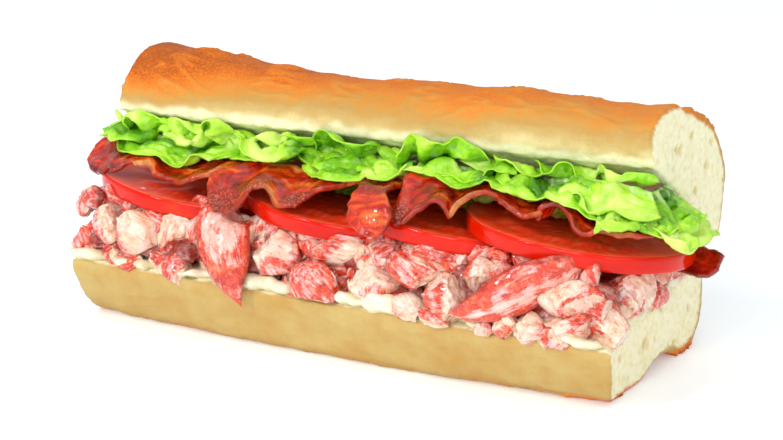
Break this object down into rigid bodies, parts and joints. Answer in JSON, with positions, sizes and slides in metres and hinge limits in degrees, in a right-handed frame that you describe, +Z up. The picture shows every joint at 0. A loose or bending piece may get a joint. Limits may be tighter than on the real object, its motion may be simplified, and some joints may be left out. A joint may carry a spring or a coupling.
{
  "type": "lobster blt sandwich",
  "caption": "Long sub roll split along one side and filled with mayonnaise, lobster salad, tomato slices, bacon and lettuce.",
  "frame": {"origin": "centre of the bounding box at its base, on the surface that the sandwich lies on", "axes": "+X along the roll, -Y the open front, +Z up"},
  "size_m": [0.2058, 0.0904, 0.0807],
  "materials": {
    "bread": "baked crust, golden brown, with pale open crumb on the cut faces",
    "mayonnaise": "off-white, soft and wet",
    "lobster": "white flesh with red skin, coated in thin mayonnaise",
    "tomato": "wet red flesh and skin",
    "bacon": "fried, oily, dark red lean with amber fat",
    "lettuce": "bright green ruffled leaf, lightly waxy"
  },
  "bodies": {
    "root": {"bun_bottom": "bread", "bun_top": "bread", "mayonnaise": "mayonnaise", "lobster_salad": "lobster", "claw_left": "lobster", "claw_right": "lobster", "tomato_slice_1": "tomato", "tomato_slice_2": "tomato", "tomato_slice_3": "tomato", "tomato_slice_4": "tomato", "bacon_1": "bacon", "bacon_2": "bacon", "bacon_3": "bacon", "bacon_4": "bacon", "bacon_5": "bacon", "bacon_6": "bacon", "bacon_7": "bacon", "lettuce_1": "lettuce", "lettuce_2": "lettuce", "lettuce_3": "lettuce", "lettuce_4": "lettuce", "lettuce_5": "lettuce", "lettuce_6": "lettuce", "lettuce_7": "lettuce", "lettuce_8": "lettuce"}
  },
  "joints": []
}
